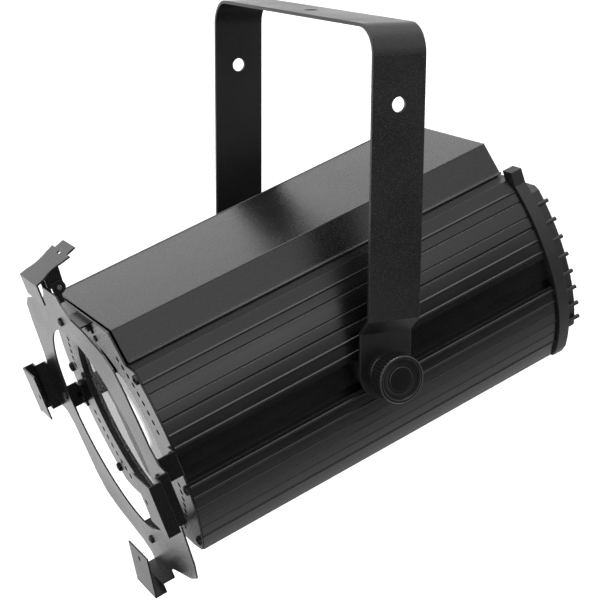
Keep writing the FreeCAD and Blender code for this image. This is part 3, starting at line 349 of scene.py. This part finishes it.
def screw_solid(radius, height, shank, length):
    """Pan-head screw with a domed top and a cross recess that narrows towards its floor."""
    crown = 0.86 * radius
    rings = 15
    profile = [(crown * i / rings, height * (1 - 0.2 * (i / rings) ** 2)) for i in range(rings + 1)]
    rim = profile[-1][1]
    for degrees in (25, 50, 75, 90):
        lean = math.radians(degrees)
        profile.append((crown + (radius - crown) * math.sin(lean),
                        rim - 0.45 * height * (1 - math.cos(lean))))
    profile += [(radius, 0), (shank, 0), (shank, -length), (0, -length)]
    arm, half_slot, depth = 0.58 * radius, 0.13 * radius, 0.62 * height

    def recess(index, angle, r, z):
        if index > rings:
            return r, z
        u, v = abs(r * math.cos(angle)), abs(r * math.sin(angle))
        across, along = min(u, v), max(u, v)
        wall = 1 - smoothstep(half_slot * 0.75, half_slot * 1.35, across)
        wall *= 1 - smoothstep(arm * 0.62, arm, along)
        core = 1 - smoothstep(0.16 * radius, 0.30 * radius, r)
        return r, z - depth * max(wall, core)

    points, faces = ring_solid(profile, 56, recess)
    points[0] = (0, 0, height - depth)
    return points, faces


def make_screws():
    """Detailed screws in the places of the CAD ones, each turned to its own angle."""
    for node, outward in (("front_plate_screws", -REARWARD), ("standoff_screws", -REARWARD),
                          ("holder_screws", -REARWARD), ("lens_holder_screws", -REARWARD),
                          ("rear_cap_screws", REARWARD)):
        solids = []
        for number, group in enumerate(islands(node)):
            upright = outward.cross(ACROSS).normalized()
            spans = []
            for way in (ACROSS, upright, outward):
                reach = [p.dot(way) for p in group]
                spans.append((min(reach), max(reach)))
            (x0, x1), (v0, v1), (t0, t1) = spans
            radius = (x1 - x0) / 2
            axis_point = ACROSS * (x0 + x1) / 2 + upright * (v0 + v1) / 2
            away = [(p - axis_point).cross(outward).length for p in group]
            rim = [p.dot(outward) for p, r in zip(group, away) if r > 0.93 * radius]
            shank = min([r for r in away if 0.3 * radius < r < 0.8 * radius] or [0.45 * radius])
            seat = min(rim)
            solid = screw_solid(radius, t1 - seat, shank, max(seat - t0, 0.0005))
            solids.append(placed(solid, axis_point + outward * seat, outward, 0.7 + 1.9 * number))
        new_piece(node + "_detail", solids, "head", "black_screws", node, smooth=50)


def make_cover_beads():
    """Rolled beads along the top cover's hems and folds, their coat made lighter as a painted
    highlight.
    """
    # Lighter, speckled bead coat: a painted highlight along the hems and folds.
    edge_highlight_and_wear = finish("cover_bead", 0.028, 0.045, (0.22, 0.30), grain=(900, 0.00001),
                    edge=0.0001, speck=0.05)
    points = [v.co for v in NODES["top_cover"].data.vertices if v.co.x > 0]
    reach = max(p.x for p in points)
    crest = max(p.dot(HEAD_UP) for p in points)
    close = 1e-5
    hem = [p for p in points if p.x > reach - close]
    fold = [p for p in points if p.dot(HEAD_UP) > crest - close]
    for name, line, radius, inset in (("top_cover_hem_beads", hem, 0.0012, 0.0005),
                                      ("top_cover_fold_beads", fold, 0.0007, 0.0002)):
        along = [p.dot(REARWARD) for p in line]
        half = (max(along) - min(along)) / 2
        profile = [(0, -half), (0.6 * radius, -half), (radius, 0.6 * radius - half),
                   (radius, half - 0.6 * radius), (0.6 * radius, half), (0, half)]
        level = sum(p.dot(HEAD_UP) for p in line) / len(line)
        width = sum(p.x for p in line) / len(line) - inset
        if line is fold:
            level -= inset
        middle = REARWARD * (max(along) + min(along)) / 2 + HEAD_UP * level
        beads = [placed(ring_solid(profile, 16), middle + ACROSS * side * width, REARWARD)
                 for side in (1, -1)]
        new_piece(name, beads, "head", "housing_coat", material=edge_highlight_and_wear)


def make_clamp_knobs():
    """Moulded clamp knobs: ribbed skirt, raised rim, sloping dish and a capped middle."""
    mm = 0.001
    rib_pairs, rib_depth = 20, 0.95 * mm
    for side, sign in (("right", 1), ("left", -1)):
        node = f"clamp_knob_{side}"
        low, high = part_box(node)
        face = max(abs(low.x), abs(high.x))
        back = min(abs(low.x), abs(high.x))
        skirt = (high.z - low.z) / 2
        depth = face - back
        face_steps = (
            (0, -1.5), (10.6, -1.5), (11.2, -1.6), (11.55, -1.95), (11.7, -2.6),
            (12.0, -2.9), (12.4, -2.9), (12.7, -2.6), (12.85, -2.2), (13.2, -2.05),
            (17.3, -2.05), (17.75, -1.95), (17.95, -1.6), (18.1, -0.55), (18.35, -0.15),
            (18.8, 0), (20.0, 0), (20.55, -0.12), (20.95, -0.5), (21.2, -1.0))
        profile = [(r * mm, z * mm) for r, z in face_steps]
        smooth_to = len(profile)
        skirt_rows = ((-1.6, 0.6), (-2.4, 1), (-5.5, 1), (-9.0, 1), (-12.5, 1), (-15.4, 1),
                      (-16.4, 0.6))
        profile += [(skirt, z * mm) for z, _ in skirt_rows]
        shares = [share for _, share in skirt_rows]
        profile += [(20.6 * mm, -17.0 * mm), (15.0 * mm, -17.2 * mm), (14.2 * mm, -17.9 * mm),
                    (14.0 * mm, -19.0 * mm), (14.0 * mm, -(depth - 0.6 * mm)),
                    (13.4 * mm, -depth), (5.3 * mm, -depth), (5.3 * mm, -(depth - 1.5 * mm)),
                    (0, -(depth - 1.5 * mm))]

        def ribs(index, angle, r, z):
            row = index - smooth_to
            if not 0 <= row < len(shares):
                return r, z
            wave = abs(math.sin(rib_pairs * angle)) ** 0.6
            return r - rib_depth * shares[row] * (1 - wave), z

        solid = placed(ring_solid(profile, 240, ribs), Vector((sign * face, 0, TILT_AXIS_Z)),
                       ACROSS * sign)
        new_piece(node + "_detail", [solid], f"knob_{side}", "knob_plastic", node, smooth=40)


# ---------------------------------------------------------------- CAD nodes and studio
def dress_cad_nodes():
    """Each CAD material slot carries its finish's name."""
    for node in NODES.values():
        for holder in node.material_slots:
            holder.material = FINISHES[holder.material.name.split(".")[0]]


def make_stage():
    """A wide pale floor below the hanging light, left out of its reflections."""
    half = FLOOR_HALF_SIDE
    corners = ((-half, -half), (half, -half), (half, half), (-half, half))
    mesh = bpy.data.meshes.new("floor")
    mesh.from_pydata([(x, y, FLOOR_Z) for x, y in corners], [], [(0, 1, 2, 3)])
    floor = bpy.data.objects.new("floor", mesh)
    bpy.context.scene.collection.objects.link(floor)
    material = bpy.data.materials.new("floor_paint")
    material.use_nodes = True
    shader = material.node_tree.nodes["Principled BSDF"]
    shader.inputs["Base Color"].default_value = grey(FLOOR_WHITE)
    shader.inputs["Roughness"].default_value = 0.9
    mesh.materials.append(material)
    floor.visible_glossy = False


def make_light():
    """A white room with soft boxes overhead, low on the left and high on the right.

    The room is darker below, high on the left and at its open side behind the right.
    Each ramp goes by the cosine between a ray and the middle of its patch.
    """
    world = bpy.data.worlds.new("studio")
    bpy.context.scene.world = world
    world.use_nodes = True
    nodes = Nodes(world.node_tree)
    background = world.node_tree.nodes["Background"]
    way = nodes.add("ShaderNodeTexCoord").outputs["Generated"]

    def towards(direction):
        return nodes.add("ShaderNodeVectorMath", operation="DOT_PRODUCT", inputs={
            0: way, 1: Vector(direction).normalized()}).outputs["Value"]

    low_left = nodes.ramp(towards((-0.9, 0.3, 0.1)), 0.6, 0.98, 0.0, 0.75)
    open_side = nodes.ramp(towards((0.85, 0.42, -0.33)), 0.79, 0.97, 1.0, 0.06)
    upper_left = nodes.ramp(towards((-0.7, 0.05, 0.72)), 0.8, 0.96, 1.0, 0.5)
    below = nodes.ramp(towards((0.1, 0.1, -1)), 0.1, 0.8, 1.0, 0.47)
    overhead = nodes.ramp(towards((0, 0, 1)), 0.91, 0.98, 0.0, 4.2)
    room = nodes.math("ADD", nodes.math("MULTIPLY", 1.15, below), low_left)
    side_box = nodes.ramp(towards((0.885, 0.11, 0.43)), 0.988, 0.999, 0.0, 1.3)
    room = nodes.math("ADD", nodes.math("ADD", room, overhead), side_box)
    lit = nodes.math("MULTIPLY", nodes.math("MULTIPLY", room, open_side), upper_left)
    seen = nodes.add("ShaderNodeLightPath").outputs["Is Camera Ray"]
    nodes.put(background, "Color", (1, 1, 1, 1))
    nodes.put(background, "Strength", nodes.math("MAXIMUM", lit, seen))
    bpy.context.scene.view_settings.view_transform = "Standard"


make_camera()
dress_cad_nodes()
make_screws()
make_clamp_knobs()
make_cover_beads()
make_stage()
make_light()
